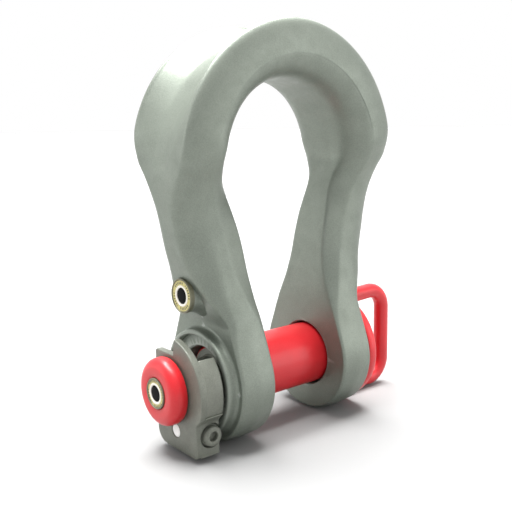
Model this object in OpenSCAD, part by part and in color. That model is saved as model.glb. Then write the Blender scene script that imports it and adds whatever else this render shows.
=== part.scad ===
// Wide-body bow shackle with a red pin, a pull handle and a slide-off keeper.
// Axes: X along the pin, from the keeper end to the handle end. Y across the
// bow. Z up to the crown. Origin: on the pin's axis, midway between the ears.

/* [Pin] */
// Diameter of the pin where the load hangs
pin_d = 70; // [66:0.5:72]
// Diameter of the turned neck that the keeper's slot straddles
neck_d = 48; // [40:0.5:50]
// Diameter of the round button on the pin's keeper end
button_d = 70; // [66:0.5:72]
// Length of the button along the pin
button_l = 17; // [14:0.5:20]
// Diameter of the flange that stops the pin against the handle-side ear
flange_d = 124; // [120:1:128]
// Thickness of the flange
flange_t = 12; // [8:0.5:14]
// Diameter of the rod that the pull handle is bent from
rod_d = 18; // [14:0.5:20]
// Distance between the centre lines of the handle's two arms
handle_h = 108; // [96:1:108]
// Reach of the handle beyond the flange, to its rod's centre line
handle_reach = 76; // [56:1:84]

/* [Bow] */
// Clear gap between the two ears
jaw = 100; // [92:1:108]
// Thickness of an ear
ear_t = 43; // [38:0.5:46]
// Diameter of an ear
ear_d = 134; // [128:1:140]
// Diameter of the hole through each ear
bore_d = 74; // [73:0.5:78]
// Radius of the crown's inner surface, which the sling lies on
crown_in_r = 83; // [78:0.5:88]
// Thickness of the crown from its inner surface to its rims
crown_t = 60; // [54:0.5:66]
// Width of the crown across its two rims
crown_w = 112; // [100:1:124]
// Height of the crown's centre above the pin's axis
crown_z = 229; // [220:1:240]
// Depth of the V-shaped valley between the rims, at the top of the crown
valley_d = 14; // [10:1:24]
// Radius of the round boss that the keeper bears on
boss_r = 56; // [50:0.5:60]
// Height of the boss above its ear
boss_t = 11; // [8:0.5:13]

/* [Keeper] */
// Thickness of the keeper's front plate
plate_t = 8; // [6:0.5:9]
// Reach of the keeper on its near, closed side
keeper_near = 55; // [52:0.5:60]
// Reach of the keeper on its far, open side
keeper_far = 27; // [22:0.5:30]
// Thickness of the wall that stands behind the keeper's plate
wall_t = 8; // [6:0.5:9]
// Diameter of the lock bolt's shank
bolt_d = 14; // [12:0.5:16]
// Diameter of the lock bolt's round head
head_d = 21; // [20:0.5:22]
// Diameter of the bright sight plug in the keeper's foot
sight_d = 14; // [12:0.5:16]

/* [Identification tags] */
// Outer diameter of a tag
tag_d = 36; // [30:0.5:38]
// Diameter of a tag's black transponder button
core_d = 17; // [14:0.5:18]

/* [Hidden] */
$fn = 96;
SLICE_FN = 32;

galvanised = "#A8ADA4";
red = "#C42D33";
keeper_grey = "#6E706A";
zinc = "#BEC1BC";
label_olive = "#8E8B4C";
tag_black = "#141414";

// Places along the pin
ear_in = jaw / 2;
ear_out = ear_in + ear_t;
boss_x = -(ear_out + boss_t);
neck_x = boss_x - 1;
plate_gap = 23;                      // depth of the wall behind the plate
plate_back = boss_x - plate_gap - 1;
plate_front = plate_back - plate_t;
button_back = plate_front - 1;
button_x = button_back - button_l;
flange_x = ear_out + 3;
handle_x = flange_x + flange_t;

// Bow
crown_out_r = crown_in_r + crown_t;
crown_start = 8;                     // angle above the centre where the legs take over
leg_half = 30;                       // half the width of a leg across the bow
shoulder_half = 47;                  // half the width where the crown meets a leg
neck_z = 66;                         // height where a leg starts to thicken outwards
neck_half = 50;                      // half the width of a leg at that height

// Lock bolt
sleeve_r = bolt_d / 2 + 1;           // outer radius of the bush and of the insert
bolt_x = plate_back + sleeve_r + 1.5;
bolt_z = -40;
step_y = 10 - keeper_near;           // near side of the keeper's narrow foot
wall_y = step_y + 5;                 // floor of the recess that the bolt's head sits in
floor_t = 8;                         // thickness of the wall that the bolt's bush sits in
sight_z = bolt_z - 2;
sight_y = -7;                        // place of the sight plug across the keeper's foot
sight_t = 6;                         // thickness of the sight plug
washer_t = 2.5;
bolt_head_t = 7;
bolt_tip_y = 27;
foot_z = -62;                        // lower edge of the keeper
edge_r = 5;
toe_r = 16;
wall_top = 137;                      // angle about the pin where the keeper's wall ends
running = 0.05;                      // radial clearance of a running fit

// Tags
tag_t = 5;
bow_tag_z = 95;
bow_tag_x = -120;                    // the tag's outer face
tag_stub_r = tag_d / 2 - 3;
lip = 2;                             // width of the cup's rim
bezel_r = core_d / 2 + 2;

function arc(cx, cy, r, a0, a1, n = 10) =
    [for (i = [0:n]) let (a = a0 + (a1 - a0) * i / n) [cx + r * cos(a), cy + r * sin(a)]];

// Cylinder along X from x0 to x1
module x_rod(x0, x1, r) translate([x0, 0, 0]) rotate([0, 90, 0]) cylinder(h = x1 - x0, r = r);

// Cylinder along Y from y0 to y1, on the lock bolt's axis
module bolt_rod(y0, y1, r)
    translate([bolt_x, y1, bolt_z]) rotate([90, 0, 0]) cylinder(h = y1 - y0, r = r);

// Solid turned about the pin's axis from [x, r] points
module turned(points)
    rotate([0, 90, 0]) rotate([0, 0, 90]) rotate_extrude() polygon([for (p = points) [p[1], p[0]]]);

// Disc with broken edges along X
module x_disc(x0, x1, r, edge)
    turned([[x0, 0], [x1, 0], [x1, r - edge], [x1 - edge, r], [x0 + edge, r], [x0, r - edge]]);

// ---- bow ----

// Section of the crown: x is the radius from the crown's centre, y across the bow
module crown_section() {
    half = crown_w / 2;
    inner = 26;
    outer = 16;
    polygon(concat(
        arc(crown_in_r + inner, half - inner, inner, 180, 90),
        arc(crown_out_r - outer, half - outer, outer, 90, 0),
        arc(crown_out_r - outer, outer - half, outer, 0, -90),
        arc(crown_in_r + inner, inner - half, inner, -90, -180)));
}

// Side outline that narrows the crown's width down to that of the legs
module width_outline() {
    leg = shoulder_half;
    wide = crown_w / 2;
    z0 = crown_z + crown_in_r * sin(crown_start);
    z1 = crown_z + 45;
    steps = 12;
    right = [for (i = [0:steps]) let (t = i / steps)
        [leg + (wide - leg) * (3 * t * t - 2 * t * t * t), z0 + (z1 - z0) * t]];
    top = crown_z + crown_out_r + 5;
    polygon(concat([[leg, 120]], right, [[wide, top], [-wide, top]],
                   [for (i = [steps:-1:0]) [-right[i][0], right[i][1]]], [[-leg, 120]]));
}

// Ring that cuts the valley: deepest at the top of the crown, fading at its sides
module valley_cutter() {
    drop = valley_d * 1.1;
    low_r = crown_out_r - valley_d + drop;
    translate([0, 0, crown_z - drop]) rotate([90, 0, 0])
        rotate_extrude(angle = 180)
            polygon([[low_r, -5], [low_r, 5], [low_r + 44, 52], [low_r + 44, -52]]);
}

module crown()
    difference() {
        intersection() {
            translate([0, 0, crown_z]) rotate([90, 0, 0]) rotate([0, 0, crown_start])
                rotate_extrude(angle = 180 - 2 * crown_start) crown_section();
            rotate([90, 0, 90]) linear_extrude(height = 2 * crown_out_r + 10, center = true)
                width_outline();
        }
        valley_cutter();
    }

// Thin slice of a leg: inner and outer reach along X, half width, corner radius, height
module slice(x0, x1, half, edge, z, tilt = 0)
    translate([x0, 0, z]) rotate([0, tilt, 0]) linear_extrude(height = 0.5)
        polygon(concat(arc(x1 - x0 - edge, half - edge, edge, 0, 90, 5),
                       arc(edge, half - edge, edge, 90, 180, 5),
                       arc(edge, edge - half, edge, 180, 270, 5),
                       arc(x1 - x0 - edge, edge - half, edge, 270, 360, 5)));

module foot_slice() slice(ear_in, ear_out, neck_half, 5, neck_z);
module ankle_slice() slice(ear_in + 3, ear_out + 22, 38, 15, 112);
module knee_slice() slice(ear_in + 15, ear_out + 40, leg_half, 22, 165);
module shoulder_slice()
    slice(crown_in_r * cos(crown_start), crown_in_r * cos(crown_start) + crown_t, shoulder_half,
          12, crown_z + crown_in_r * sin(crown_start), -crown_start);

// Flat stretch of a leg above its ear, as thick as the ear, clear of the pin's flange
module neck()
    translate([ear_in, 0, 0]) rotate([90, 0, 90]) linear_extrude(height = ear_t)
        polygon([[-ear_d / 2 + 3, 18], [ear_d / 2 - 3, 18],
                 [neck_half, neck_z + 0.5], [-neck_half, neck_z + 0.5]]);

module leg() {
    neck();
    hull() {
        foot_slice();
        ankle_slice();
    }
    hull() {
        ankle_slice();
        knee_slice();
    }
    hull() {
        knee_slice();
        shoulder_slice();
    }
}

// Stub on the outside of a leg that carries the bow's tag
module tag_stub() {
    translate([bow_tag_x + tag_t, 0, bow_tag_z]) rotate([0, 90, 0])
        cylinder(h = 30, r1 = tag_stub_r, r2 = tag_stub_r + 4);
}

// Lug on the boss that the lock bolt screws into
module lug()
    translate([plate_back + 0.5, 4, bolt_z - 12]) cube([boss_x - plate_back, 21, 23]);

module bow()
    color(galvanised) difference() {
        union() {
            crown();
            leg();
            mirror([1, 0, 0]) leg();
            x_disc(-ear_out, -ear_in, ear_d / 2, 4);
            x_disc(ear_in, ear_out, ear_d / 2, 4);
            x_disc(boss_x, 1 - ear_out, boss_r, 2);
            tag_stub();
            lug();
        }
        x_rod(-ear_out - boss_t - 1, ear_out + 1, bore_d / 2);
        bolt_rod(3, 26, sleeve_r);
    }

// ---- pin and handle ----

module pin() {
    r = pin_d / 2;
    neck = neck_d / 2;
    button = button_d / 2;
    round = 6;
    color(red) difference() {
        turned(concat(
            [[button_x, 0]],
            [for (p = arc(button_x + round, button - round, round, 180, 90, 6)) p],
            [[button_back - 2, button], [button_back, button - 2], [button_back, neck],
             [neck_x, neck], [neck_x, r - 2], [neck_x + 2, r], [flange_x, r],
             [flange_x, flange_d / 2 - 2], [flange_x + 2, flange_d / 2],
             [handle_x - 2, flange_d / 2], [handle_x, flange_d / 2 - 2], [handle_x, 0]]));
        x_rod(button_x - 1, button_x + tag_t - 1, tag_d / 2 + running - 2);
    }
}

// Handle: two arms from the flange, two bends and an upright bar
module handle() {
    bend = 24;
    rod = rod_d / 2;
    bar_x = handle_x + handle_reach;
    color(red) {
        for (side = [-1, 1]) {
            translate([handle_x, 0, side * handle_h / 2]) rotate([0, 90, 0])
                cylinder(h = handle_reach - bend, r = rod);
            translate([bar_x - bend, 0, side * (handle_h / 2 - bend)]) rotate([90, 0, 0])
                rotate([0, 0, side > 0 ? 0 : -90])
                    rotate_extrude(angle = 90) translate([bend, 0]) circle(r = rod);
        }
        translate([bar_x, 0, bend - handle_h / 2]) cylinder(h = handle_h - 2 * bend, r = rod);
    }
}

// Fillet weld round the foot of each handle arm
module handle_welds() {
    leg_size = 5;
    rod = rod_d / 2;
    color(red) intersection() {
        for (side = [-1, 1])
            translate([handle_x, 0, side * handle_h / 2]) rotate([0, 90, 0])
                rotate_extrude() polygon([[rod, 0], [rod + leg_size, 0], [rod, leg_size]]);
        x_rod(handle_x, handle_x + leg_size + 1, flange_d / 2 - 2);
    }
}

// ---- keeper ----

// Outline of the plate: x is across (Y), y is up (Z)
module keeper_outline() {
    slot_r = neck_d / 2 + 1;
    polygon(concat(
        [[keeper_far, 38], [-6, 38]],
        arc(0, 0, keeper_near, 98, 202, 26),
        [[step_y, -26]],
        arc(step_y + edge_r, foot_z + edge_r, edge_r, 180, 270, 4),
        arc(keeper_far - toe_r, foot_z + toe_r, toe_r, -90, 0),
        [[keeper_far, -slot_r]],
        arc(0, 0, slot_r, 270, 90, 24),
        [[keeper_far, slot_r]]));
}

// Outline of the wall that stands behind the plate's near and lower edges
module wall_outline() {
    floor_y = wall_y + floor_t;
    polygon(concat(
        arc(0, 0, keeper_near, wall_top, 202, 20),
        [[step_y, -26]],
        arc(step_y + edge_r, foot_z + edge_r, edge_r, 180, 270, 4),
        [[-8, foot_z], [-8, foot_z + wall_t], [floor_y, foot_z + wall_t], [floor_y, -30]],
        arc(0, 0, keeper_near - wall_t, 210, wall_top, 20)));
}

module along_x(x0, x1)
    translate([x0, 0, 0]) rotate([90, 0, 90]) linear_extrude(height = x1 - x0) children();

module keeper()
    color(keeper_grey) difference() {
        union() {
            along_x(plate_front, plate_back) keeper_outline();
            along_x(plate_back - 1, boss_x - 1.5) wall_outline();
        }
        bolt_rod(step_y - 10, wall_y, head_d / 2 + 2.5);
        bolt_rod(wall_y - 1, wall_y + 10, sleeve_r);
        sight_rod(sight_t + 1, -1);
    }

// Cylinder along X through the keeper's foot, from an inset behind the plate's face
module sight_rod(length, inset)
    translate([plate_front + inset, sight_y, sight_z]) rotate([0, 90, 0])
        cylinder(h = length, r = sight_d / 2);

module sight_plug() color(zinc) sight_rod(sight_t - 0.5, 0.5);

module bolt_bush()
    color(zinc) difference() {
        bolt_rod(wall_y, wall_y + 8, sleeve_r);
        bolt_rod(wall_y - 1, wall_y + 9, bolt_d / 2 + 0.4);
    }

module thread_insert()
    color(zinc) difference() {
        bolt_rod(4, 25, sleeve_r);
        bolt_rod(3, 26, bolt_d / 2 + running);
    }

module lock_washer()
    color(zinc) difference() {
        bolt_rod(wall_y - washer_t, wall_y - 0.1, head_d / 2 + 1);
        bolt_rod(wall_y - washer_t - 1, wall_y + 1, bolt_d / 2 + 0.4);
    }

module lock_bolt()
    color(keeper_grey) difference() {
        union() {
            bolt_rod(wall_y - washer_t, bolt_tip_y, bolt_d / 2);
            bolt_rod(wall_y - washer_t - bolt_head_t, wall_y - washer_t, head_d / 2);
        }
        bolt_rod(wall_y - washer_t - bolt_head_t - 1, wall_y - washer_t - 2, 5);
    }

module retaining_ring()
    color(zinc) difference() {
        bolt_rod(0, 2, sleeve_r);
        bolt_rod(-1, 3, bolt_d / 2);
    }

// ---- tags: a ring-shaped cup, a label ring, a bezel and a black transponder ----

// Ring along X with its face at x0
module tag_ring(x0, depth, r_in, r_out) difference() {
    x_rod(x0, x0 + depth, r_out);
    x_rod(x0 - 1, x0 + depth + 1, r_in);
}

module bow_tag() translate([bow_tag_x, 0, bow_tag_z]) children();
module pin_tag() translate([button_x - 1, 0, 0]) children();

module tag_cup(r)
    color(keeper_grey) {
        tag_ring(0, tag_t, r - lip, r);
        x_rod(tag_t - 1, tag_t, r - lip);
    }
module tag_label(r) color(label_olive) tag_ring(1, tag_t - 2, bezel_r, r - lip);
module tag_bezel() color(zinc) tag_ring(0.5, tag_t - 1.5, core_d / 2, bezel_r);
module tag_core() color(tag_black) x_rod(0.5, tag_t - 1, core_d / 2);

module bow_tag_cup() bow_tag() tag_cup(tag_d / 2);
module bow_tag_label() bow_tag() tag_label(tag_d / 2);
module bow_tag_bezel() bow_tag() tag_bezel();
module bow_tag_core() bow_tag() tag_core();

module pin_tag_cup() pin_tag() tag_cup(tag_d / 2 - 2);
module pin_tag_label() pin_tag() tag_label(tag_d / 2 - 2);
module pin_tag_bezel() pin_tag() tag_bezel();
module pin_tag_core() pin_tag() tag_core();

bow();
pin();
handle();
handle_welds();
keeper();
bolt_bush();
thread_insert();
lock_washer();
lock_bolt();
retaining_ring();
sight_plug();
bow_tag_cup();
bow_tag_label();
bow_tag_bezel();
bow_tag_core();
pin_tag_cup();
pin_tag_label();
pin_tag_bezel();
pin_tag_core();
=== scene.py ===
"""Wide-body bow shackle with a red pin, a pull handle and a slide-off keeper."""
import math

import bmesh
import bpy
from mathutils import Matrix, Vector


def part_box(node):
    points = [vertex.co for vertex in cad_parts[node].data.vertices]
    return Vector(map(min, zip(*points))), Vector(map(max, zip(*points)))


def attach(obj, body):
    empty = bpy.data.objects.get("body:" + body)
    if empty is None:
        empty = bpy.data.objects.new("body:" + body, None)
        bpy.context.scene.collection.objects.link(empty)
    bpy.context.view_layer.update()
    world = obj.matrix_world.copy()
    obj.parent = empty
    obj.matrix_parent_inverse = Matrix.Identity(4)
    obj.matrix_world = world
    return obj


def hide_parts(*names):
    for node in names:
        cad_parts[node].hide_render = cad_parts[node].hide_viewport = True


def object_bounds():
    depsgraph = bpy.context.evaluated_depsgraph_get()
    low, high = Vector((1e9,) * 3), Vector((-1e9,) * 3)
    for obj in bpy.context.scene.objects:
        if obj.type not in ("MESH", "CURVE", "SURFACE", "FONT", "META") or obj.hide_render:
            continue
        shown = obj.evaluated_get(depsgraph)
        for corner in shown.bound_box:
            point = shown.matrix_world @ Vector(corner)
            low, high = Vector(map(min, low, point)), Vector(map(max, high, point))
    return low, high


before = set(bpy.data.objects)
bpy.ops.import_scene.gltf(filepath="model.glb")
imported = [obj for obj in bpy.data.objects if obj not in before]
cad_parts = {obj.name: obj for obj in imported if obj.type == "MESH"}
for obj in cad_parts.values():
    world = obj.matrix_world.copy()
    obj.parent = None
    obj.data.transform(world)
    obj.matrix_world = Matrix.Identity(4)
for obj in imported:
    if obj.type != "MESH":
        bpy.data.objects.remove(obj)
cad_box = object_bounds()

MM = 0.001


def corners(node):
    """A CAD node's lowest and highest corners, in millimetres."""
    lo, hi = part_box(node)
    return lo / MM, hi / MM


# ---- sizes in millimetres, some read from the CAD parts' boxes, the rest given ----

bow_lo, bow_hi = corners("bow")
pin_lo, pin_hi = corners("pin")
handle_hi = corners("handle")[1]
keeper_lo, keeper_hi = corners("keeper")
bolt_lo, bolt_hi = corners("lock_bolt")
washer_lo, washer_hi = corners("lock_washer")
sight_lo, sight_hi = corners("sight_plug")
bow_tag_lo, bow_tag_hi = corners("bow_tag_cup")
pin_tag_lo, pin_tag_hi = corners("pin_tag_cup")

EAR_R = -bow_lo.z
EAR_IN = 50.0
EAR_T = 43.0
EAR_OUT = EAR_IN + EAR_T
EAR_EDGE = 4.0
BORE_R = 37.0
CROWN_IN_R = 83.0
CROWN_OUT_R = 143.0
CROWN_Z = bow_hi.z - CROWN_OUT_R
BOSS_X = -104.0
BOSS_R = 56.0
BOSS_EDGE = 3
RECESS_R, RECESS_T = 51.0, 8.0   # radius and depth of the recess in the boss's face
RECESS_EDGE = 0.8
RECESS_FLOOR = BOSS_X + RECESS_T
LUG_FRONT = -127.5
LUG_Y = (4, 25)
LUG_Z = (-52, -29)
PIN_R = 35.0
BUTTON_R = 35.0
BUTTON_ROUND = 9.5               # radius of the rounding at the button's outer edge
BUTTON_T = 17
NECK_R = 24.0
SHAFT_X = -84.0                  # where the pin's full shaft starts, inside the ear
FLANGE_R = pin_hi.z
FLANGE_X = 96.0
HANDLE_X = pin_hi.x
BOLT_X = (bolt_lo.x + bolt_hi.x) / 2
BOLT_Z = (bolt_lo.z + bolt_hi.z) / 2
BOLT_R = 7.0
TAG_T = 5.0


# ---- mesh helpers ----

def add_mesh(name, verts, faces):
    """A new object from points in millimetres, with doubled points merged and faces turned outwards."""
    bm = bmesh.new()
    made = [bm.verts.new(Vector(v) * MM) for v in verts]
    for face in faces:
        bm.faces.new([made[i] for i in face])
    bmesh.ops.remove_doubles(bm, verts=bm.verts, dist=1e-6)
    bmesh.ops.dissolve_degenerate(bm, edges=bm.edges, dist=1e-7)
    bmesh.ops.recalc_face_normals(bm, faces=bm.faces)
    mesh = bpy.data.meshes.new(name)
    bm.to_mesh(mesh)
    bm.free()
    obj = bpy.data.objects.new(name, mesh)
    bpy.context.scene.collection.objects.link(obj)
    return obj


def loft(name, rings, closed=False):
    """A tube through rings of equal length. Open ends are capped."""
    n = len(rings[0])
    verts = [p for ring in rings for p in ring]
    spans = len(rings) if closed else len(rings) - 1
    faces = []
    for i in range(spans):
        a, b = i * n, (i + 1) % len(rings) * n
        for k in range(n):
            m = (k + 1) % n
            faces.append((a + k, a + m, b + m, b + k))
    if not closed:
        faces.append(tuple(range(n)))
        faces.append(tuple(range(len(verts) - n, len(verts))))
    return add_mesh(name, verts, faces)


def lathe(name, profile, axis="X", centre=(0, 0, 0), steps=96):
    """A solid turned from (place along the axis, radius) points.

    The profile runs from r = 0 to r = 0, or ends where it starts to make a ring.
    """
    rings = []
    ring_shape = profile[0] == profile[-1]
    points = profile[:-1] if ring_shape else profile
    for i in range(steps):
        a = 2 * math.pi * i / steps
        c, s = math.cos(a), math.sin(a)
        if axis == "X":
            rings.append([(centre[0] + p, centre[1] + r * c, centre[2] + r * s) for p, r in points])
        else:
            rings.append([(centre[0] + r * c, centre[1] + p, centre[2] + r * s) for p, r in points])
    n = len(points)
    verts = [p for ring in rings for p in ring]
    faces = []
    for i in range(steps):
        a, b = i * n, (i + 1) % steps * n
        for k in range(n if ring_shape else n - 1):
            m = (k + 1) % n
            faces.append((a + k, a + m, b + m, b + k))
    return add_mesh(name, verts, faces)


def extrude_x(name, outline, x0, x1):
    """A plate between two places along X, from a (y, z) outline."""
    n = len(outline)
    verts = [(x0, y, z) for y, z in outline] + [(x1, y, z) for y, z in outline]
    faces = [tuple(range(n)), tuple(range(2 * n - 1, n - 1, -1))]
    faces += [(k, (k + 1) % n, n + (k + 1) % n, n + k) for k in range(n)]
    return add_mesh(name, verts, faces)


def arc(cx, cy, r, a0, a1, n=8):
    """Points on a circle, angles in degrees."""
    return [(cx + r * math.cos(math.radians(a0 + (a1 - a0) * i / n)),
             cy + r * math.sin(math.radians(a0 + (a1 - a0) * i / n))) for i in range(n + 1)]


def apply_modifiers(obj):
    """Bakes a piece's modifiers into its mesh."""
    graph = bpy.context.evaluated_depsgraph_get()
    mesh = bpy.data.meshes.new_from_object(obj.evaluated_get(graph))
    obj.modifiers.clear()
    obj.data = mesh


def combine(obj, tool, operation):
    """Joins the tool to a piece or cuts it away, and deletes the tool."""
    mod = obj.modifiers.new("combine", "BOOLEAN")
    mod.object, mod.operation, mod.solver = tool, operation, "EXACT"
    apply_modifiers(obj)
    bpy.data.objects.remove(tool)


def bevel(obj, width, angle=30, segments=3):
    """Rounds the edges that turn by more than the angle, in degrees."""
    mod = obj.modifiers.new("edges", "BEVEL")
    mod.width, mod.segments = width * MM, segments
    mod.limit_method, mod.angle_limit = "ANGLE", math.radians(angle)
    apply_modifiers(obj)


def smooth(obj, angle=35):
    """Shades a piece smooth, with edges above the angle kept sharp."""
    for face in obj.data.polygons:
        face.use_smooth = True
    obj.data.set_sharp_from_angle(angle=math.radians(angle))


def weigh_normals(obj):
    """Keeps flat faces flat next to their rounded edges."""
    obj.modifiers.new("normals", "WEIGHTED_NORMAL").keep_sharp = True
    apply_modifiers(obj)


def blend_value(stops, at):
    """Value on a smooth curve through (place, value) stops."""
    if at <= stops[0][0]:
        return stops[0][1]
    if at >= stops[-1][0]:
        return stops[-1][1]
    i = max(k for k in range(len(stops) - 1) if stops[k][0] <= at)

    def slope(k):
        before, after = stops[max(k - 1, 0)], stops[min(k + 1, len(stops) - 1)]
        return (after[1] - before[1]) / (after[0] - before[0])

    (x0, y0), (x1, y1) = stops[i], stops[i + 1]
    h = x1 - x0
    t = (at - x0) / h
    return ((2 * t ** 3 - 3 * t * t + 1) * y0 + (t ** 3 - 2 * t * t + t) * h * slope(i)
            + (3 * t * t - 2 * t ** 3) * y1 + (t ** 3 - t * t) * h * slope(i + 1))


# ---- camera, at the photograph's angle ----

CAMERA_BACK = (-39.567, 9.2365)   # azimuth and elevation of the direction behind the camera
CAMERA_ROLL = -0.857
CAMERA_SIDE = (-40.225, 4.792)    # azimuth and elevation of the camera's place
CAMERA_RANGE = 0.81687            # metres from the pivot
CAMERA_PIVOT = Vector((0, 0, 0.2))
CAMERA_LENS = 52.44
CAMERA_SHIFT = (-0.0117, -0.0254)


def direction(azimuth, elevation):
    """Unit vector from the object towards a viewer, angles in degrees."""
    a, e = math.radians(azimuth), math.radians(elevation)
    return Vector((math.sin(a) * math.cos(e), -math.cos(a) * math.cos(e), math.sin(e)))


def make_camera():
    cam = bpy.data.objects.new("camera", bpy.data.cameras.new("camera"))
    bpy.context.scene.collection.objects.link(cam)
    back = direction(*CAMERA_BACK)
    right = (-back).cross(Vector((0, 0, 1))).normalized()
    up = right.cross(-back)
    roll = math.radians(CAMERA_ROLL)
    axis_x = right * math.cos(roll) + up * math.sin(roll)
    axis_y = up * math.cos(roll) - right * math.sin(roll)
    turn = Matrix((axis_x, axis_y, back)).transposed().to_4x4()
    place = direction(*CAMERA_SIDE) * CAMERA_RANGE + CAMERA_PIVOT
    cam.matrix_world = Matrix.Translation(place) @ turn
    cam.data.lens = CAMERA_LENS
    cam.data.shift_x, cam.data.shift_y = CAMERA_SHIFT
    cam.data.clip_start, cam.data.clip_end = 0.01, 100
    bpy.context.scene.camera = cam


make_camera()
bpy.context.scene.view_settings.view_transform = "Standard"


# ---- materials ----

def srgb(r, g, b):
    """Linear colour from 8-bit display values."""
    def one(v):
        v /= 255
        return v / 12.92 if v <= 0.04045 else ((v + 0.055) / 1.055) ** 2.4
    return (one(r), one(g), one(b), 1.0)


class Graph:
    """A material's node tree, with short ways to add nodes."""

    def __init__(self, name):
        self.mat = bpy.data.materials.new(name)
        self.mat.use_nodes = True
        self.tree = self.mat.node_tree
        self.bsdf = self.tree.nodes["Principled BSDF"]
        self.coords = self.tree.nodes.new("ShaderNodeTexCoord").outputs["Object"]

    def link(self, a, b):
        self.tree.links.new(a, b)

    def set(self, **sockets):
        for name, value in sockets.items():
            self.bsdf.inputs[name.replace("_", " ")].default_value = value

    def noise(self, scale, detail=3.0, rough=0.55, distortion=0.0):
        node = self.tree.nodes.new("ShaderNodeTexNoise")
        self.link(self.coords, node.inputs["Vector"])
        node.inputs["Scale"].default_value = scale
        node.inputs["Detail"].default_value = detail
        node.inputs["Roughness"].default_value = rough
        node.inputs["Distortion"].default_value = distortion
        return node.outputs["Fac"]

    def ramp(self, value, stops):
        node = self.tree.nodes.new("ShaderNodeValToRGB")
        self.link(value, node.inputs["Fac"])
        items = node.color_ramp.elements
        while len(items) < len(stops):
            items.new(0.5)
        for item, (place, colour) in zip(items, stops):
            item.position = place
            item.color = colour if len(colour) == 4 else (*colour, 1)
        return node.outputs["Color"]

    def grey(self, value, lo, hi, a=0.3, b=0.7):
        """Maps a texture from a..b to lo..hi."""
        node = self.tree.nodes.new("ShaderNodeMapRange")
        self.link(value, node.inputs["Value"])
        for key, number in zip(("From Min", "From Max", "To Min", "To Max"), (a, b, lo, hi)):
            node.inputs[key].default_value = number
        return node.outputs["Result"]

    def mix(self, factor, a, b, how="MIX"):
        node = self.tree.nodes.new("ShaderNodeMix")
        node.data_type, node.blend_type = "RGBA", how
        for socket, value in ((node.inputs[0], factor), (node.inputs[6], a), (node.inputs[7], b)):
            if isinstance(value, (int, float, tuple)):
                socket.default_value = value
            else:
                self.link(value, socket)
        return node.outputs[2]

    def math(self, how, a, b=None):
        node = self.tree.nodes.new("ShaderNodeMath")
        node.operation = how
        for socket, value in zip(node.inputs, (a, b)):
            if value is None:
                continue
            if isinstance(value, (int, float)):
                socket.default_value = value
            else:
                self.link(value, socket)
        return node.outputs[0]

    def bump(self, layers):
        """Adds (height, strength, distance in mm) layers on top of each other."""
        normal = None
        for height, strength, distance in layers:
            node = self.tree.nodes.new("ShaderNodeBump")
            node.inputs["Strength"].default_value = strength
            node.inputs["Distance"].default_value = distance * MM
            self.link(height, node.inputs["Height"])
            if normal:
                self.link(normal, node.inputs["Normal"])
            normal = node.outputs["Normal"]
        self.link(normal, self.bsdf.inputs["Normal"])

    def edges(self, lo=0.5, hi=0.56):
        """1 on convex edges, 0 elsewhere."""
        geometry = self.tree.nodes.new("ShaderNodeNewGeometry")
        return self.grey(geometry.outputs["Pointiness"], 0, 1, lo, hi)


def bow_coating():
    g = Graph("bow_coating")
    broad = g.noise(13, 4)
    blotch = g.noise(55, 5, 0.6, 0.4)
    grain = g.noise(900, 2)
    skin = g.noise(330, 3)
    colour = g.ramp(broad, [(0.3, srgb(110, 117, 108)), (0.7, srgb(121, 128, 118))])
    colour = g.mix(g.grey(blotch, 0, 0.35), colour, srgb(101, 108, 98))
    colour = g.mix(g.grey(grain, 0, 0.25, 0.35, 0.65), colour, srgb(149, 155, 145))
    colour = g.mix(g.math("MULTIPLY", g.edges(0.51, 0.6), g.grey(blotch, 0.1, 0.6)), colour,
                   srgb(186, 191, 184))
    g.link(colour, g.bsdf.inputs["Base Color"])
    g.link(g.grey(blotch, 0.4, 0.52), g.bsdf.inputs["Roughness"])
    g.bump([(skin, 0.25, 0.5), (grain, 0.2, 0.16)])
    g.set(Metallic=0.55)
    return g.mat


def red_paint():
    g = Graph("red_paint")
    broad = g.noise(20, 3)
    peel = g.noise(420, 2)
    fine = g.noise(1300, 2)
    colour = g.ramp(broad, [(0.3, srgb(182, 22, 30)), (0.7, srgb(196, 30, 38))])
    colour = g.mix(g.grey(fine, 0, 0.16, 0.4, 0.7), colour, srgb(218, 56, 58))
    colour = g.mix(g.math("MULTIPLY", g.edges(0.53, 0.62), 0.35), colour, srgb(236, 96, 92))
    g.link(colour, g.bsdf.inputs["Base Color"])
    g.link(g.grey(broad, 0.34, 0.44), g.bsdf.inputs["Roughness"])
    g.bump([(peel, 0.16, 0.25), (fine, 0.1, 0.08)])
    g.set(Specular_IOR_Level=0.35, Coat_Weight=0.2, Coat_Roughness=0.2)
    return g.mat


def keeper_coating():
    g = Graph("keeper_coating")
    broad = g.noise(24, 4)
    blotch = g.noise(90, 5, 0.6, 0.3)
    grain = g.noise(1000, 2)
    skin = g.noise(380, 3)
    colour = g.ramp(broad, [(0.3, srgb(94, 97, 88)), (0.7, srgb(109, 112, 102))])
    colour = g.mix(g.grey(blotch, 0, 0.4), colour, srgb(80, 83, 75))
    colour = g.mix(g.grey(grain, 0, 0.25, 0.4, 0.7), colour, srgb(140, 142, 132))
    colour = g.mix(g.math("MULTIPLY", g.edges(0.52, 0.6), 0.4), colour, srgb(158, 162, 150))
    g.link(colour, g.bsdf.inputs["Base Color"])
    g.link(g.grey(blotch, 0.38, 0.52), g.bsdf.inputs["Roughness"])
    g.bump([(skin, 0.3, 0.4), (grain, 0.2, 0.12)])
    g.set(Metallic=0.25)
    return g.mat


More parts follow.
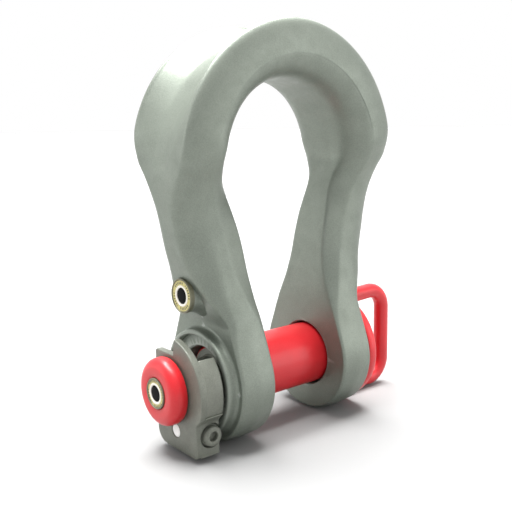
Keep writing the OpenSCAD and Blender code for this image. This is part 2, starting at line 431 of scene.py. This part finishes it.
def zinc_plate():
    g = Graph("zinc_plate")
    broad = g.noise(60, 4)
    grain = g.noise(1500, 2)
    colour = g.ramp(broad, [(0.3, srgb(205, 207, 202)), (0.7, srgb(226, 228, 224))])
    g.link(colour, g.bsdf.inputs["Base Color"])
    g.link(g.grey(broad, 0.3, 0.45), g.bsdf.inputs["Roughness"])
    g.bump([(grain, 0.15, 0.08)])
    g.set(Metallic=0.6)
    return g.mat


def sight_white():
    g = Graph("sight_white")
    broad = g.noise(150, 3)
    grain = g.noise(1600, 2)
    colour = g.ramp(broad, [(0.3, srgb(228, 229, 226)), (0.7, srgb(242, 243, 240))])
    g.link(colour, g.bsdf.inputs["Base Color"])
    g.link(g.grey(broad, 0.3, 0.42), g.bsdf.inputs["Roughness"])
    g.bump([(grain, 0.12, 0.06)])
    return g.mat


def tag_cup():
    g = Graph("tag_cup")
    broad = g.noise(70, 4)
    grain = g.noise(1400, 2)
    colour = g.ramp(broad, [(0.3, srgb(98, 98, 82)), (0.7, srgb(122, 120, 98))])
    g.link(colour, g.bsdf.inputs["Base Color"])
    g.link(g.grey(broad, 0.35, 0.5), g.bsdf.inputs["Roughness"])
    g.bump([(grain, 0.15, 0.1)])
    g.set(Metallic=0.4)
    return g.mat


def tag_label():
    """Olive ring with dark radial marks, drawn round the piece's own X axis."""
    g = Graph("tag_label")
    split = g.tree.nodes.new("ShaderNodeSeparateXYZ")
    g.link(g.coords, split.inputs[0])
    turn = g.math("ARCTAN2", split.outputs["Z"], split.outputs["Y"])
    radius = g.math("SQRT", g.math("ADD", g.math("POWER", split.outputs["Y"], 2.0),
                                   g.math("POWER", split.outputs["Z"], 2.0)))
    fine = g.math("GREATER_THAN", g.math("SINE", g.math("MULTIPLY", turn, 30.0)), 0.1)
    gaps = g.math("LESS_THAN", g.math("SINE", g.math("MULTIPLY", turn, 4.0)), 0.75)
    ring = g.math("MULTIPLY", g.math("GREATER_THAN", radius, 12.2 * MM),
                  g.math("LESS_THAN", radius, 14.6 * MM))
    marks = g.math("MULTIPLY", g.math("MULTIPLY", fine, gaps), ring)
    speck = g.noise(500, 3)
    colour = g.ramp(speck, [(0.3, srgb(166, 156, 92)), (0.7, srgb(192, 184, 120))])
    colour = g.mix(marks, colour, srgb(48, 42, 28))
    g.link(colour, g.bsdf.inputs["Base Color"])
    g.link(g.grey(speck, 0.35, 0.5), g.bsdf.inputs["Roughness"])
    g.bump([(speck, 0.12, 0.1)])
    return g.mat


def tag_bezel():
    g = Graph("tag_bezel")
    speck = g.noise(700, 3)
    colour = g.ramp(speck, [(0.3, srgb(214, 210, 198)), (0.7, srgb(236, 233, 224))])
    g.link(colour, g.bsdf.inputs["Base Color"])
    g.link(g.grey(speck, 0.3, 0.42), g.bsdf.inputs["Roughness"])
    g.bump([(speck, 0.1, 0.06)])
    return g.mat


def tag_core():
    g = Graph("tag_core")
    speck = g.noise(1100, 3)
    colour = g.ramp(speck, [(0.3, srgb(6, 6, 6)), (0.7, srgb(16, 16, 17))])
    g.link(colour, g.bsdf.inputs["Base Color"])
    g.link(g.grey(speck, 0.45, 0.6), g.bsdf.inputs["Roughness"])
    g.bump([(speck, 0.15, 0.08)])
    g.set(Specular_IOR_Level=0.05)
    return g.mat


def floor_paint():
    g = Graph("floor_paint")
    speck = g.noise(6, 3)
    colour = g.ramp(speck, [(0.3, (0.24, 0.24, 0.24)), (0.7, (0.25, 0.25, 0.248))])
    g.link(colour, g.bsdf.inputs["Base Color"])
    g.set(Roughness=0.8)
    return g.mat


MATERIALS = {make.__name__: make() for make in (
    bow_coating, red_paint, keeper_coating, zinc_plate, sight_white, tag_cup, tag_label, tag_bezel,
    tag_core)}


def finish_piece(obj, body, material, slot, *nodes, angle=35):
    """Smooths a piece, paints it and puts it on its body in place of CAD nodes."""
    smooth(obj, angle)
    obj.data.materials.clear()
    obj.data.materials.append(MATERIALS[material])
    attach(obj, body)
    if nodes:
        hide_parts(*nodes)


# ---- bow ----
# A half section runs from the middle of the inner face, over the inner corner, the
# side band and the outer corner, to the middle of the outer face. u is the distance
# from the inner face and y the distance from the middle plane.

COUNTS = (6, 14, 8, 16, 5, 9, 6)  # steps on: inner face, corner, band, corner, crest, wall, floor
BAND_RISE = 1.2                   # how much the side band stands proud along its parting line

EAR_TOP = 24                      # height where a leg takes over from its ear
CROWN_STEP = 2.0                  # how far the lists below run on for each degree round the crown

# The leg's inner and outer reach along X at heights above the pin.
X_IN = ((64, 50), (90, 51), (115, 53.5), (145, 58.5), (180, 68), (200, 75), (214, 80), (229, 83), (244, 80))
X_OUT = ((64, 93), (70, 95), (80, 100.5), (100, 111.5), (120, 120), (145, 128.5), (180, 135.5),
         (205, 138.8), (229, 140.3), (241, 141))
# Each list gives a size at heights along the leg, then at angles above the crown's side.
SIZES = {
    "half": (((24, 62.6), (38, 57.6), (50, 53.4), (66, 48.2), (90, 40.8), (115, 34), (145, 30.3), (175, 30),
              (199, 34), (215, 41), (229, 48.5)), ((8, 54.5), (16, 56), (90, 56))),
    "rise": (((24, BAND_RISE), (45, BAND_RISE), (90, 0), (229, 0)), ((90, 0),)),
    "in_face": (((24, 58.3), (38, 53.2), (50, 48.8), (66, 42.6), (90, 33), (115, 27), (145, 24.5),
                 (165, 23), (190, 19), (212, 17), (229, 16)), ((90, 18.7),)),
    "in_corner": (((24, 4), (38, 4.4), (50, 5.6), (66, 8.5), (90, 16), (115, 22), (145, 25), (200, 24),
                   (229, 25)), ((25, 27), (90, 27))),
    "in_round": (((24, 1), (50, 0.85), (66, 0.6), (90, 0.2), (145, 0.15), (190, 0.15), (205, 0.5),
                  (220, 0.9), (229, 1)), ((90, 1),)),
    "out_corner": (((24, 4), (38, 4.4), (50, 5.6), (66, 9), (90, 18), (115, 26), (145, 30), (229, 32)),
                   ((25, 36), (90, 36))),
    "out_round": (((24, 1), (66, 0.9), (90, 0.85), (145, 0.9), (229, 1)), ((90, 1),)),
    "crest_y": (((24, 58.3), (38, 53.2), (50, 48.4), (66, 42), (90, 30), (115, 18), (145, 12), (180, 12),
                 (199, 18), (214, 26), (229, 37)), ((3, 39), (8, 43), (14, 45), (25, 45), (90, 45))),
    "crest_r": (((229, 140.3),), ((5, 141.6), (12, 142.8), (20, 143), (90, 143))),
    "edge_y": (((24, 45), (66, 32), (90, 22), (115, 12), (145, 8), (200, 10), (229, 16)),
               ((7, 27), (16, 37), (25, 40.5), (34, 41.5), (90, 41.5))),
    "edge_drop": (((24, 0), (215, 0), (229, 0.4)), ((10, 1.8), (20, 2.4), (35, 3.2), (90, 3.2))),
    "floor_y": (((24, 27), (90, 13), (145, 5), (200, 5), (229, 8)), ((8, 12), (25, 14), (90, 14))),
    "floor_drop": (((24, 0), (214, 0), (222, 0.6), (229, 2.2)),
                   ((10, 7), (21, 12), (33, 15.5), (45, 16), (90, 16))),
}
STOPS = {key: leg + tuple((CROWN_Z + CROWN_STEP * angle, size) for angle, size in crown)
         for key, (leg, crown) in SIZES.items()}


def sizes_at(place):
    """The bow's section sizes at a place along the lists."""
    return {key: blend_value(stops, place) for key, stops in STOPS.items()}


def half_section(v):
    """Points (u, y) of a half section."""
    a, b, c, d, e, f, g = COUNTS
    thick, half = v["thick"], v["half"] - v["rise"]
    edge_u, floor_u = thick - v["edge_drop"], thick - v["floor_drop"]
    points = [(0, v["in_face"] * i / a) for i in range(a)]
    for i in range(b):
        t = i / b
        s = math.radians(90 * t)
        points.append((v["in_corner"] * (t + v["in_round"] * (1 - math.cos(s) - t)),
                       v["in_face"] + (half - v["in_face"]) * (t + v["in_round"] * (math.sin(s) - t))))
    for i in range(c):
        t = i / c
        points.append((v["in_corner"] + (thick - v["out_corner"] - v["in_corner"]) * t,
                       half + v["rise"] * (1 - abs(2 * t - 1))))
    for i in range(d):
        t = i / d
        s = math.radians(90 * t)
        points.append((thick - v["out_corner"] * (1 - t - v["out_round"] * (math.sin(s) - t)),
                       v["crest_y"] + (half - v["crest_y"])
                       * (1 - t + v["out_round"] * (math.cos(s) - 1 + t))))
    for steps, (u0, y0), (u1, y1) in ((e, (thick, v["crest_y"]), (edge_u, v["edge_y"])),
                                      (f, (edge_u, v["edge_y"]), (floor_u, v["floor_y"]))):
        points += [(u0 + (u1 - u0) * i / steps, y0 + (y1 - y0) * i / steps) for i in range(steps)]
    dip = 0.1 * (edge_u - floor_u)
    points += [(floor_u - dip * i / g * (2 - i / g), v["floor_y"] * (1 - i / g))
               for i in range(g + 1)]
    return points


def soften(points, rounds):
    """Rounds off a half section's edges a little; its ends stay on the middle plane."""
    for _ in range(rounds):
        inner = [((p[0] + 2 * q[0] + r[0]) / 4, (p[1] + 2 * q[1] + r[1]) / 4)
                 for p, q, r in zip(points, points[1:], points[2:])]
        points = [points[0]] + inner + [points[-1]]
    return points


def ear_section(z):
    """Half section of the ear's disc at a height: rounded edges, and a band that peaks along its middle."""
    flat, rim = EAR_R - EAR_EDGE, EAR_R - BAND_RISE
    half_band = EAR_T / 2 - EAR_EDGE
    a, b, c, d, e, f, g = COUNTS
    least_turn = math.asin(min(max((abs(z) - flat) / (rim - flat), 0), 1))
    least_lift = min(max((abs(z) - rim) / BAND_RISE, 0), 1)

    def point(turn, lift):
        turn, lift = max(turn, least_turn), max(lift, least_lift)
        radius = flat + (rim - flat) * math.sin(turn) + BAND_RISE * lift
        return (EAR_EDGE * (1 - math.cos(turn)) + half_band * lift,
                math.sqrt(max(radius * radius - z * z, 0)))

    u0, chord = point(0, 0)
    quarter = math.pi / 2
    points = [(u0, chord * i / a) for i in range(a)]
    points += [point(quarter * i / b, 0) for i in range(b)]
    for i in range(c):
        u, y = point(quarter, 1 - abs(2 * i / c - 1))
        points.append((u if 2 * i <= c else EAR_T - u, y))
    for i in range(d):
        u, y = point(quarter * (1 - i / d), 0)
        points.append((EAR_T - u, y))
    points += [(EAR_T - u0, chord * (1 - i / (e + f + g))) for i in range(e + f + g + 1)]
    return points


def full_ring(points, place):
    """A closed ring from a half section, placed by place(u, y)."""
    mirrored = [(u, -y) for u, y in reversed(points[1:-1])]
    return [place(u, y) for u, y in points + mirrored]


def bow_rings():
    """Rings from the bottom of one ear to the top of the crown."""
    low_steps, turns = 40, 60
    heights = [-EAR_R * math.cos(math.pi / 2 * i / low_steps) for i in range(low_steps)]
    rings = [full_ring(ear_section(z), lambda u, y, z=z: (EAR_IN + u, y, z))
             for z in heights + list(range(0, EAR_TOP, 3))]
    z = float(EAR_TOP)
    while z < CROWN_Z - 1:
        v = sizes_at(z)
        x_in = blend_value(X_IN, z)
        v["thick"] = blend_value(X_OUT, z) - x_in
        rings.append(full_ring(soften(half_section(v), 2), lambda u, y, z=z, x=x_in: (x + u, y, z)))
        z += 2.5
    for i in range(turns + 1):
        angle = 90 * i / turns
        v = sizes_at(CROWN_Z + CROWN_STEP * angle)
        v["thick"] = v["crest_r"] - CROWN_IN_R
        s = math.radians(angle)
        rings.append(full_ring(soften(half_section(v), 2), lambda u, y, s=s: (
            (CROWN_IN_R + u) * math.cos(s), y, CROWN_Z + (CROWN_IN_R + u) * math.sin(s))))
    return rings


def make_bow():
    half = bow_rings()
    other = [[(-x, y, z) for x, y, z in ring] for ring in reversed(half[:-1])]
    bow = loft("bow_casting", half + other)
    over = 2                          # how far a cutter runs past what it cuts
    rounded = [(BOSS_X + BOSS_EDGE - BOSS_EDGE * math.cos(t), BOSS_R - BOSS_EDGE + BOSS_EDGE * math.sin(t))
               for t in (0.5, 1.0, 1.571)]
    fillet = [(-97.5, BOSS_R), (-95.0, BOSS_R + 0.6), (-93.4, BOSS_R + 2), (-92.7, BOSS_R + 4.5),
              (-90, BOSS_R + 4.5)]
    boss = lathe("boss", [(BOSS_X, 0), (BOSS_X, BOSS_R - BOSS_EDGE)] + rounded + fillet + [(-90, 0)],
                 steps=144)
    combine(bow, boss, "UNION")
    wide = RECESS_R + RECESS_EDGE
    recess = lathe("recess", [(BOSS_X - over, 0), (BOSS_X - over, wide), (BOSS_X, wide),
                              (BOSS_X + 1, RECESS_R), (RECESS_FLOOR, RECESS_R),
                              (RECESS_FLOOR, RECESS_R - RECESS_EDGE), (RECESS_FLOOR, BORE_R + 3),
                              (RECESS_FLOOR, 0)],
                   steps=128)
    combine(bow, recess, "DIFFERENCE")
    tag_z = (bow_tag_lo.z + bow_tag_hi.z) / 2
    tag_r = (bow_tag_hi.z - bow_tag_lo.z) / 2
    back = bow_tag_hi.x - 0.3         # the stub starts just inside the tag's back
    stub = lathe("stub", [(back, 0), (back, tag_r - 1.5), (back + 0.8, tag_r - 0.8),
                          (back + 6, tag_r - 0.2), (back + 12, tag_r + 2), (back + 18, tag_r + 6),
                          (back + 24, tag_r + 9), (back + 24, 0)], centre=(0, 0, tag_z))
    combine(bow, stub, "UNION")
    (y0, y1), (z0, z1) = LUG_Y, LUG_Z
    lug = extrude_x("lug", [(y0, z0), (y1, z0), (y1, z1), (y0, z1)], LUG_FRONT, RECESS_FLOOR + over)
    bevel(lug, 2)
    combine(bow, lug, "UNION")
    flare, edge = 5, 1.5              # the bores' 45 degree edges, outside and inside the ear
    for x0, x1 in ((RECESS_FLOOR, -EAR_IN), (EAR_IN, EAR_OUT)):
        mouth = BORE_R + flare + edge
        cutter = lathe("bore", [(x0 - flare, 0), (x0 - flare, mouth), (x0 + edge, BORE_R),
                                (x1 - edge, BORE_R), (x1 + flare, mouth), (x1 + flare, 0)], steps=128)
        combine(bow, cutter, "DIFFERENCE")
    hole = lathe("bolt_hole", [(y0 - over, 0), (y0 - over, BOLT_R + 1), (y1 + over, BOLT_R + 1),
                               (y1 + over, 0)], "Y", (BOLT_X, 0, BOLT_Z), 48)
    combine(bow, hole, "DIFFERENCE")
    finish_piece(bow, "bow", "bow_coating", "bow_coating", "bow", angle=38)
    weigh_normals(bow)


make_bow()


# ---- pin and handle ----

def make_pin():
    x0 = pin_lo.x
    recess_r = (pin_tag_hi.z - pin_tag_lo.z) / 2 + 0.1
    recess_x = pin_tag_hi.x
    back = x0 + BUTTON_T
    button = [(recess_x, 0), (recess_x, recess_r - 2), (recess_x - 2, recess_r - 2),
              (x0 + 1.5, recess_r), (x0 + 0.4, recess_r + 0.8), (x0, recess_r + 2.2)]
    button += [(x0 + BUTTON_ROUND - BUTTON_ROUND * math.cos(t),
                BUTTON_R - BUTTON_ROUND + BUTTON_ROUND * math.sin(t))
               for t in [math.pi / 2 * i / 10 for i in range(11)]]
    button += [(back - 3, BUTTON_R), (back - 1, BUTTON_R - 0.9), (back, BUTTON_R - 3), (back, 0)]
    # The neck between the button and the shaft takes the keeper's dark coating: painted shade for the deep
    # shadow in the gap behind the keeper's horn.
    neck = [(back - 1, 0), (back - 1, NECK_R + 2), (back + 0.2, NECK_R + 2), (back + 1.2, NECK_R + 0.4),
            (back + 2.5, NECK_R), (SHAFT_X - 2, NECK_R), (SHAFT_X - 0.2, NECK_R + 2),
            (SHAFT_X - 0.2, PIN_R - 3), (SHAFT_X + 1, PIN_R - 3), (SHAFT_X + 1, 0)]
    shaft = [(SHAFT_X, 0), (SHAFT_X, PIN_R - 2.5), (SHAFT_X + 2.5, PIN_R), (FLANGE_X - 1.5, PIN_R),
             (FLANGE_X, PIN_R + 1.5), (FLANGE_X, FLANGE_R - 3), (FLANGE_X + 0.9, FLANGE_R - 0.9),
             (FLANGE_X + 3, FLANGE_R), (HANDLE_X - 3, FLANGE_R), (HANDLE_X - 0.9, FLANGE_R - 0.9),
             (HANDLE_X, FLANGE_R - 3), (HANDLE_X, 0)]
    for name, profile, paint in (("pin_button", button, "red_paint"),
                                 ("pin_neck", neck, "keeper_coating"),
                                 ("pin_shaft", shaft, "red_paint")):
        finish_piece(lathe(name, profile, steps=128), "pin", paint, paint, "pin", angle=40)


def rod(name, path, radius, sides=28):
    """A round rod along a path in the XZ plane."""
    across = Vector((0, 1, 0))
    rings = []
    for i, p in enumerate(path):
        a, b = path[max(i - 1, 0)], path[min(i + 1, len(path) - 1)]
        along = Vector((b[0] - a[0], 0, b[1] - a[1])).normalized()
        side = along.cross(across)
        middle = Vector((p[0], 0, p[1]))
        rings.append([middle + (side * math.cos(t) + across * math.sin(t)) * radius
                      for t in [2 * math.pi * k / sides for k in range(sides)]])
    return loft(name, rings)


def make_handle():
    rod_r = handle_hi.y
    bar_x = handle_hi.x - rod_r
    foot = handle_hi.z - rod_r
    splay = 2.5                       # how far the arms open towards the bar
    bend = 24.0
    top = foot + splay
    path = [(HANDLE_X - 4, foot - 0.1), (HANDLE_X + 6, foot + 0.2), (HANDLE_X + 20, foot + 1.0)]
    path += arc(bar_x - bend, top - bend, bend, 92, 0, 14)
    path += [(bar_x, 10), (bar_x, -10)]
    path += arc(bar_x - bend, bend - top, bend, 0, -92, 14)
    path += [(HANDLE_X + 20, -foot - 1.0), (HANDLE_X + 6, -foot - 0.2), (HANDLE_X - 4, 0.1 - foot)]
    bar = rod("handle_rod", path, rod_r)
    finish_piece(bar, "pin", "red_paint", "red_paint", "handle", angle=50)
    for side in (1, -1):
        make_weld("handle_weld_top" if side > 0 else "handle_weld_bottom", side * foot, rod_r)


WELD_LIMIT = FLANGE_R - 1.5       # the welds stay on the flange's face


def make_weld(name, z, rod_r):
    """A fillet weld round the foot of a handle arm, with the ripples of its passes."""
    around, across = 72, 8
    leg = 5.0
    rings = []
    for i in range(around):
        a = 2 * math.pi * i / around
        ripple = 0.35 * math.cos(a * 18) + 0.25 * math.cos(a * 5 + 1)
        ring = [(HANDLE_X - 1, rod_r - 1), (HANDLE_X - 1, rod_r + leg + ripple)]
        reach = leg + ripple
        for k in range(across + 1):
            t = math.pi / 2 * k / across
            ring.append((HANDLE_X + reach * (1 - math.cos(t)) * 0.55 + reach * 0.45 * math.sin(t),
                         rod_r + reach * (1 - math.sin(t)) * 0.6 + reach * 0.4 * math.cos(t)))
        ring.append((HANDLE_X + leg, rod_r - 1))
        placed = [(x, r * math.cos(a), z + r * math.sin(a)) for x, r in ring]
        trims = [min(1, WELD_LIMIT / math.hypot(y, up)) for _, y, up in placed]
        rings.append([(x, y * trim, up * trim) for (x, y, up), trim in zip(placed, trims)])
    weld = loft(name, rings, closed=True)
    finish_piece(weld, "pin", "red_paint", "red_paint", "handle_welds", angle=60)


make_pin()
make_handle()


# ---- keeper ----

PLATE_FRONT = keeper_lo.x
PLATE_BACK = PLATE_FRONT + 8
SKIRT_CUT = 3                    # how far the skirt and foot stop short of the CAD keeper's back
WALL_BACK = keeper_hi.x - SKIRT_CUT
NEAR = keeper_lo.y
FAR = keeper_hi.y
FOOT_Z = keeper_lo.z
KEEPER_R = -NEAR                 # radius of the keeper's near side about the pin
SLOT_R = NECK_R + 1
FOOT_Y = NEAR + 10               # near side of the foot, beside the bolt
SIGHT_R = (sight_hi.z - sight_lo.z) / 2
SIGHT_Y = (sight_lo.y + sight_hi.y) / 2
SIGHT_Z = (sight_lo.z + sight_hi.z) / 2
WALL_T = 8.0
SKIRT_TOP, SKIRT_END = 136, 201   # angles about the pin where the skirt starts and ends
HEAD_H = 7.0
HEAD_FLOOR = washer_hi.y + 0.1   # floor of the recess that the bolt's head sits in
SLEEVE_R = BOLT_R + 1
SCOOP_R = 12.5                   # radius of the recess round the bolt's head
SKIRT_STEPS = 60


def keeper_outline():
    return ([(FAR, 36), (FAR - 2, 38), (-6, 38)] + arc(0, 0, KEEPER_R, 98, 202, 40)
            + [(FOOT_Y, -26)] + arc(FOOT_Y + 5, FOOT_Z + 5, 5, 180, 270, 5)
            + arc(FAR - 16, FOOT_Z + 16, 16, -90, 0, 10)
            + [(FAR, -SLOT_R)] + arc(0, 0, SLOT_R, 270, 90, 36) + [(FAR, SLOT_R)])


def foot_outline():
    """Outline of the wall under and beside the bolt."""
    inner = HEAD_FLOOR + 8
    low = FOOT_Z + 0.5
    return ([(1 - KEEPER_R, -17), (-49.5, -20.6), (FOOT_Y, -26), (FOOT_Y, low), (-8, low),
             (-8, FOOT_Z + WALL_T), (inner, FOOT_Z + WALL_T), (inner, -30), (-43, -17)])


def make_skirt():
    """The curved wall round the keeper's near side, swept about the pin."""
    outer, inner = KEEPER_R - 0.3, KEEPER_R - WALL_T
    front = PLATE_BACK - 3
    section = [(front, outer), (WALL_BACK - 2, outer), (WALL_BACK - 0.9, outer - 0.3),
               (WALL_BACK - 0.25, outer - 0.9), (WALL_BACK, outer - 1.8), (WALL_BACK, inner + 1.2),
               (WALL_BACK - 0.8, inner + 0.3), (WALL_BACK - 2, inner), (front, inner)]
    rings = []
    for i in range(SKIRT_STEPS + 1):
        a = math.radians(SKIRT_TOP + (SKIRT_END - SKIRT_TOP) * i / SKIRT_STEPS)
        rings.append([(x, r * math.cos(a), r * math.sin(a)) for x, r in section])
    skirt = loft("keeper_skirt", rings)
    bevel(skirt, 0.8, 60, 2)
    finish_piece(skirt, "keeper", "keeper_coating", "keeper_coating", "keeper", angle=40)


def make_keeper():
    keeper = extrude_x("keeper_casting", keeper_outline(), PLATE_FRONT, PLATE_BACK)
    bevel(keeper, 2.4, 35, 4)
    wall = extrude_x("wall", foot_outline(), PLATE_BACK - 3, WALL_BACK)
    bevel(wall, 1.2, 35, 3)
    combine(keeper, wall, "UNION")
    outside = -70                     # a place along Y clear of the keeper's near side
    scoop = lathe("scoop", [(outside, 0), (outside, SCOOP_R + 1), (FOOT_Y - 0.5, SCOOP_R + 1),
                            (FOOT_Y + 0.8, SCOOP_R), (HEAD_FLOOR, SCOOP_R), (HEAD_FLOOR, 0)],
                  "Y", (BOLT_X, 0, BOLT_Z), 64)
    combine(keeper, scoop, "DIFFERENCE")
    bush = lathe("bush_hole", [(HEAD_FLOOR - 1, 0), (HEAD_FLOOR - 1, SLEEVE_R),
                               (HEAD_FLOOR + 12, SLEEVE_R), (HEAD_FLOOR + 12, 0)], "Y",
                 (BOLT_X, 0, BOLT_Z), 48)
    combine(keeper, bush, "DIFFERENCE")
    sight = lathe("sight", [(PLATE_FRONT - 2, 0), (PLATE_FRONT - 2, SIGHT_R + 3),
                            (PLATE_FRONT + 1, SIGHT_R), (sight_hi.x, SIGHT_R), (sight_hi.x, 0)],
                  "X", (0, SIGHT_Y, SIGHT_Z), 48)
    combine(keeper, sight, "DIFFERENCE")
    finish_piece(keeper, "keeper", "keeper_coating", "keeper_coating", "keeper", angle=35)
    weigh_normals(keeper)


def make_sight_plug():
    r = SIGHT_R - 0.1
    face = sight_lo.x
    plug = lathe("sight_plug_disc", [(face - 0.2, 0), (face - 0.15, r * 0.4), (face, r * 0.8),
                                     (face + 0.4, r - 0.3), (face + 0.8, r), (sight_hi.x, r),
                                     (sight_hi.x, 0)], "X", (0, SIGHT_Y, SIGHT_Z), 64)
    finish_piece(plug, "keeper", "sight_white", "zinc_plate", "sight_plug", angle=50)


make_keeper()
make_skirt()
make_sight_plug()


# ---- lock bolt and its small parts ----

def make_bolt():
    place = (BOLT_X, 0, BOLT_Z)
    head = bolt_lo.y
    neck = head + HEAD_H
    head_r = 10.5
    socket = 5.0
    profile = [(head + 5, 0), (head + 5, socket), (head + 0.8, socket), (head, socket + 0.8)]
    profile += [(head + 2.5 - 2.5 * math.cos(t), head_r - 2.5 + 2.5 * math.sin(t))
                for t in [math.pi / 2 * i / 6 for i in range(7)]]
    profile += [(neck - 0.6, head_r), (neck, head_r - 0.6), (neck, 0)]
    cap = lathe("lock_bolt_head", profile, "Y", place, 64)
    finish_piece(cap, "lock_bolt", "keeper_coating", "keeper_coating", "lock_bolt")
    tip = bolt_hi.y
    profile = [(neck - 0.5, 0), (neck - 0.5, BOLT_R)]
    thread_from, pitch = 4.0, 2.0
    y = thread_from
    while y < tip - 3:
        profile += [(y, BOLT_R), (y + pitch * 0.5, BOLT_R - 0.9)]
        y += pitch
    profile += [(tip - 1.5, BOLT_R - 0.4), (tip, BOLT_R - 2), (tip, 0)]
    shank = lathe("lock_bolt_shank", profile, "Y", place, 64)
    finish_piece(shank, "lock_bolt", "zinc_plate", "zinc_plate", "lock_bolt", angle=50)
    w0, w1 = washer_lo.y, washer_hi.y
    r = (washer_hi.x - washer_lo.x) / 2
    hole = BOLT_R + 0.4
    washer = lathe("lock_washer_ring", [(w0, hole + 0.4), (w0, r - 0.6), (w0 + 0.6, r), (w1 - 0.6, r),
                                        (w1, r - 0.6), (w1, hole + 0.4), (w1 - 0.4, hole), (w0 + 0.4, hole),
                                        (w0, hole + 0.4)], "Y", place, 64)
    finish_piece(washer, "bolt_washer", "keeper_coating", "zinc_plate", "lock_washer")


make_bolt()


def make_tag(prefix, body, lo, hi, nodes):
    """A round identification tag: a cup, a printed ring, a pale bezel and a black transponder."""
    centre = Vector((lo.x, (lo.y + hi.y) / 2, (lo.z + hi.z) / 2))
    r = (hi.z - lo.z) / 2
    core_r = 8.5
    bezel_r = core_r + 2.6

    def part(name, profile, material, slot, node):
        piece = lathe(prefix + "_" + name, profile, steps=96)
        piece.location = centre * MM
        finish_piece(piece, body, material, slot, node)

    part("rim", [(0.5, r - 1.7), (0, r - 1.3), (0, r - 0.6), (0.7, r), (TAG_T, r), (TAG_T, 0),
                 (TAG_T - 0.8, 0), (TAG_T - 0.8, r - 2), (0.9, r - 2), (0.5, r - 1.7)],
         "tag_cup", "tag_cup", nodes[0])
    part("label", [(0.9, bezel_r), (0.9, r - 2.1), (3.8, r - 2.1), (3.8, bezel_r), (0.9, bezel_r)],
         "tag_label", "tag_label", nodes[1])
    part("bezel", [(1.1, core_r), (0.5, core_r + 0.5), (0.3, core_r + 1.2), (0.5, bezel_r - 0.4),
                   (1.0, bezel_r), (3.8, bezel_r), (3.8, core_r), (1.1, core_r)], "tag_bezel",
         "zinc_plate", nodes[2])
    part("core", [(0.55, 0), (0.6, 4), (0.8, 7), (1.1, 8), (1.6, core_r), (4, core_r), (4, 0)],
         "tag_core", "tag_core", nodes[3])


for prefix, body, lo, hi in (("bow_tag", "bow", bow_tag_lo, bow_tag_hi),
                             ("pin_tag", "pin", pin_tag_lo, pin_tag_hi)):
    make_tag(prefix, body, lo, hi, [prefix + "_" + n for n in ("cup", "label", "bezel", "core")])

# The parts hidden inside the keeper and the lug keep their CAD shapes.
for name in ("bolt_bush", "thread_insert", "retaining_ring"):
    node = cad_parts[name]
    node.data.materials.clear()
    node.data.materials.append(MATERIALS["zinc_plate"])


# ---- floor and light ----

FLOOR_RADII = (300.0, 2000.0, 30000.0)
LIGHT_TARGET = (0, 0, 0.15)
SUN_AIM = (-0.08, -0.16, -0.98)
BOX_SIZE = (0.8, 1.4)             # metres


def make_floor():
    """A round floor under the lowest point of the CAD model."""
    z = cad_box[0].z
    n = 64
    rings = [[(r * math.cos(2 * math.pi * k / n), r * math.sin(2 * math.pi * k / n), z / MM)
              for k in range(n)] for r in FLOOR_RADII]
    verts = [p for ring in rings for p in ring]
    faces = [tuple(range(n))]
    for i in range(len(FLOOR_RADII) - 1):
        a, b = i * n, (i + 1) * n
        faces += [(a + k, a + (k + 1) % n, b + (k + 1) % n, b + k) for k in range(n)]
    floor = add_mesh("floor", verts, faces)
    floor.data.materials.append(floor_paint())
    if floor.data.polygons[0].normal.z < 0:
        floor.data.flip_normals()


def make_world():
    """Near white all round, darker behind the camera, as a studio is."""
    world = bpy.data.worlds.new("studio")
    bpy.context.scene.world = world
    world.use_nodes = True
    tree = world.node_tree
    back = tree.nodes["Background"]
    coords = tree.nodes.new("ShaderNodeTexCoord")
    dot = tree.nodes.new("ShaderNodeVectorMath")
    dot.operation = "DOT_PRODUCT"
    tree.links.new(coords.outputs["Generated"], dot.inputs[0])
    dot.inputs[1].default_value = direction(-40, 4)
    ramp = tree.nodes.new("ShaderNodeValToRGB")
    tree.links.new(dot.outputs["Value"], ramp.inputs["Fac"])
    ramp.color_ramp.elements[0].position = 0.1
    ramp.color_ramp.elements[0].color = (1, 1, 1, 1)
    ramp.color_ramp.elements[1].position = 0.8
    ramp.color_ramp.elements[1].color = (0.78, 0.78, 0.785, 1)
    tree.links.new(ramp.outputs["Color"], back.inputs["Color"])
    back.inputs["Strength"].default_value = 1.0


def softbox(name, place, power):
    """A soft rectangular light at a place in metres, aimed at the object, with its power in watts."""
    light = bpy.data.lights.new(name, "AREA")
    light.shape = "RECTANGLE"
    light.size, light.size_y = BOX_SIZE
    light.energy = power
    obj = bpy.data.objects.new(name, light)
    bpy.context.scene.collection.objects.link(obj)
    obj.location = place
    obj.rotation_mode = "QUATERNION"
    obj.rotation_quaternion = (Vector(LIGHT_TARGET) - Vector(place)).to_track_quat("-Z", "Y")


def make_lights():
    sun = bpy.data.lights.new("overhead", "SUN")
    sun.energy = 13.5
    sun.angle = math.radians(45)
    obj = bpy.data.objects.new("overhead", sun)
    bpy.context.scene.collection.objects.link(obj)
    obj.rotation_mode = "QUATERNION"
    obj.rotation_quaternion = Vector(SUN_AIM).to_track_quat("-Z", "Y")
    softbox("left_box", (-1.5, 1.15, 0.55), 6)
    softbox("right_box", (1.3, -1.4, 0.5), 9)


make_floor()
make_world()
make_lights()
